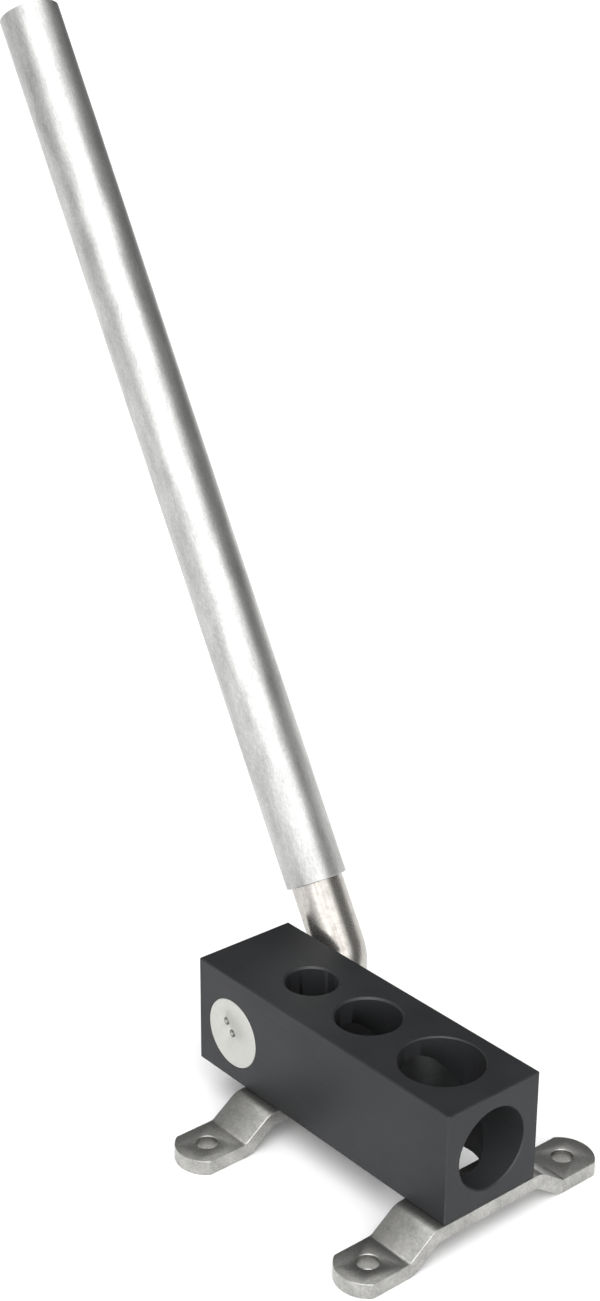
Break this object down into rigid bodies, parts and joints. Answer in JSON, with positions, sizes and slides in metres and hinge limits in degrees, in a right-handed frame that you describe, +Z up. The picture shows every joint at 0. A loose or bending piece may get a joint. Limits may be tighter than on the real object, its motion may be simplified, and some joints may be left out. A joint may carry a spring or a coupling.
{
  "type": "pipe notcher",
  "caption": "Hand-lever bench notcher for pipe ends: a black square block with upright pipe holes, a cranked lever with a tube handle, a sliding punch ram inside and two stepped feet.",
  "frame": {"origin": "on the bench plane, at the centre of the four bench holes in the feet", "axes": "+Z up, +X along the block towards the open end of the ram bore, +Y towards the lever side"},
  "size_m": [0.4526, 0.163, 0.5374],
  "materials": {
    "blackened_steel": "satin black",
    "zinc_plate": "bright zinc plate, slightly mottled",
    "galvanised_tube": "galvanised, fine lengthwise grain",
    "bright_bar": "bright drawn bar",
    "turned_steel": "fine turned",
    "tool_steel": "ground tool steel",
    "bronze": "turned bearing bronze",
    "black_screws": "black oxide",
    "weld": "rippled weld"
  },
  "bodies": {
    "frame": {"die_block": "blackened_steel", "rear_foot": "zinc_plate", "front_foot": "zinc_plate", "rear_foot_screws": "black_screws", "front_foot_screws": "black_screws", "hub_retaining_screw": "black_screws", "ram_guide_screw": "black_screws"},
    "crank": {"crank_hub": "turned_steel", "near_journal": "turned_steel", "journal_cross_pin": "tool_steel", "lever_rod": "bright_bar", "weld_bead": "weld"},
    "roller": {"drive_roller": "bronze"},
    "handle": {"handle_tube": "galvanised_tube", "tube_stop_plug": "bright_bar"},
    "ram": {"small_punch": "tool_steel", "medium_punch": "tool_steel", "large_punch": "tool_steel", "ram_tie_bolt": "black_screws", "rear_joint_dowels": "tool_steel", "front_joint_dowels": "tool_steel"}
  },
  "joints": [
    {"name": "lever_swing", "type": "hinge", "parent": "frame", "child": "crank", "pos_m": [-0.08452, 0, 0.0465], "axis": [0, 1, 0], "range_deg": [0, 118]},
    {"name": "ram_slide", "type": "slide", "parent": "frame", "child": "ram", "axis": [1, 0, 0], "range_m": [0, 0.01225]},
    {"name": "roller_spin", "type": "hinge", "parent": "crank", "child": "roller", "pos_m": [-0.0892, 0, 0.0517], "axis": [0, 1, 0], "continuous": true},
    {"name": "handle_pull", "type": "slide", "parent": "crank", "child": "handle", "axis": [-0.5, 0, 0.866], "range_m": [0, 0.07]}
  ],
  "couplings": [
    {"joint": "ram_slide", "follows": "lever_swing", "m_per_rad": 0.00593}
  ]
}
